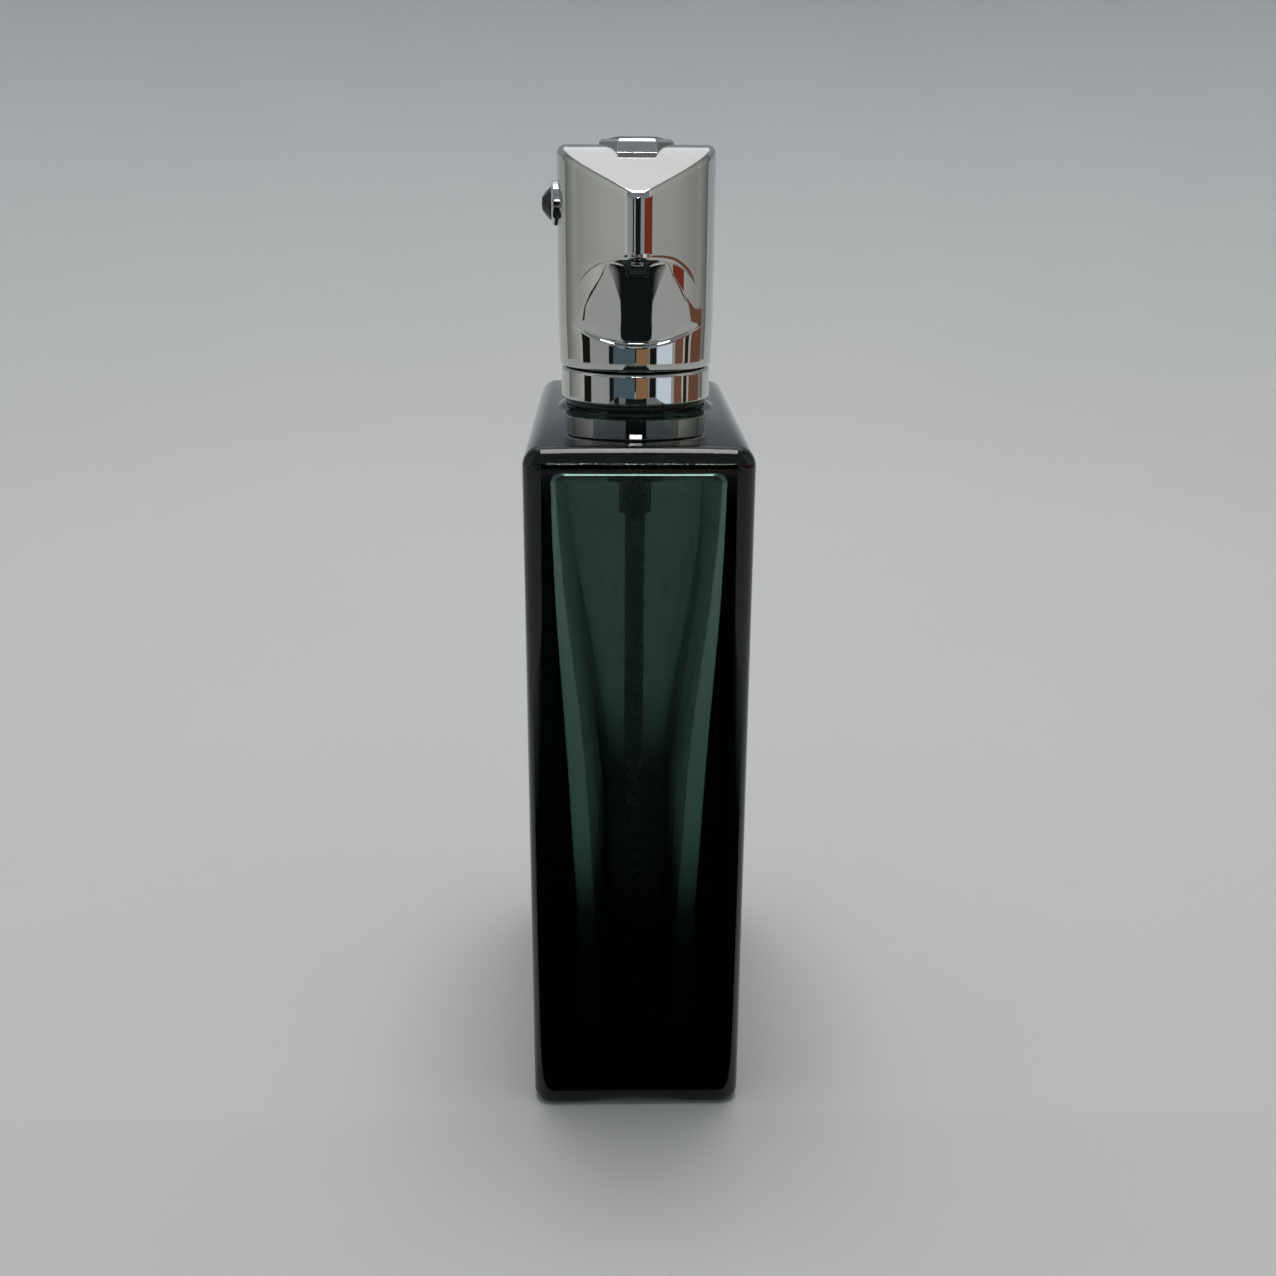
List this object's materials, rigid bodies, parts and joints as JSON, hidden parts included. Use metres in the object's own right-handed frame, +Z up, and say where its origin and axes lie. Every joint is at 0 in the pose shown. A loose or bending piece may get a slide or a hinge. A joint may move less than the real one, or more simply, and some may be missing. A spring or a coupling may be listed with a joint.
{
  "type": "aftershave bottle",
  "caption": "Flat tinted glass spray bottle with a crimped pump, a chrome collar and a pull-off chrome cap that has two scooped prows and dark set stones.",
  "frame": {"origin": "centre of the bottle's footprint, on the surface that it stands on", "axes": "+Z up along the pump's axis; +X and -X are the normals of the two wide faces, with the side stone and the nozzle on -X; +Y and -Y are the normals of the two narrow faces"},
  "size_m": [0.03, 0.062, 0.1352],
  "materials": {
    "tinted_glass": "polished grey-green tinted glass that turns to gloss black lacquer towards the base",
    "seal_rubber": "matt elastomer",
    "ferrule_aluminium": "satin rolled aluminium",
    "natural_plastic": "translucent natural polymer",
    "spring_steel": "drawn stainless wire and ground ball",
    "white_plastic": "fine moulded surface",
    "black_plastic": "moulded, semi-gloss",
    "collar_chrome": "mirror plated with faint handling marks",
    "actuator_metal": "bright anodised aluminium cup",
    "cap_chrome": "mirror plated with faint handling marks",
    "bezel_chrome": "mirror plated",
    "dark_stone": "faceted near-black cut glass"
  },
  "bodies": {
    "bottle": {"glass_bottle": "tinted_glass", "neck_gasket": "seal_rubber", "crimp_ferrule": "ferrule_aluminium", "pump_housing": "natural_plastic", "main_spring": "spring_steel", "stem_seal": "seal_rubber", "pump_turret": "white_plastic", "dip_tube": "natural_plastic", "collar_insert": "black_plastic", "collar_shell": "collar_chrome"},
    "ball": {"inlet_ball": "spring_steel"},
    "stem": {"pump_stem": "white_plastic"},
    "piston": {"pump_piston": "white_plastic"},
    "actuator": {"actuator_button": "black_plastic", "actuator_shell": "actuator_metal", "nozzle_insert": "black_plastic"},
    "cap": {"cap_shell": "cap_chrome", "cap_liner": "black_plastic", "side_bezel": "bezel_chrome", "side_gem": "dark_stone", "top_bezel": "bezel_chrome", "top_gem": "dark_stone"}
  },
  "joints": [
    {"name": "cap_pull", "type": "slide", "parent": "bottle", "child": "cap", "axis": [0, 0, 1], "range_m": [0, 0.03]},
    {"name": "actuator_press", "type": "slide", "parent": "bottle", "child": "stem", "axis": [0, 0, -1], "range_m": [0, 0.0038], "stiffness_N_per_m": 2500, "springref_m": -0.0016, "deforming": ["main_spring"]},
    {"name": "actuator_swivel", "type": "hinge", "parent": "stem", "child": "actuator", "pos_m": [0, 0, 0.1186], "axis": [0, 0, 1], "continuous": true},
    {"name": "piston_slip", "type": "slide", "parent": "stem", "child": "piston", "axis": [0, 0, 1], "range_m": [0, 0.0004]},
    {"name": "inlet_ball_lift", "type": "slide", "parent": "bottle", "child": "ball", "axis": [0, 0, 1], "range_m": [0, 0.0006]}
  ]
}
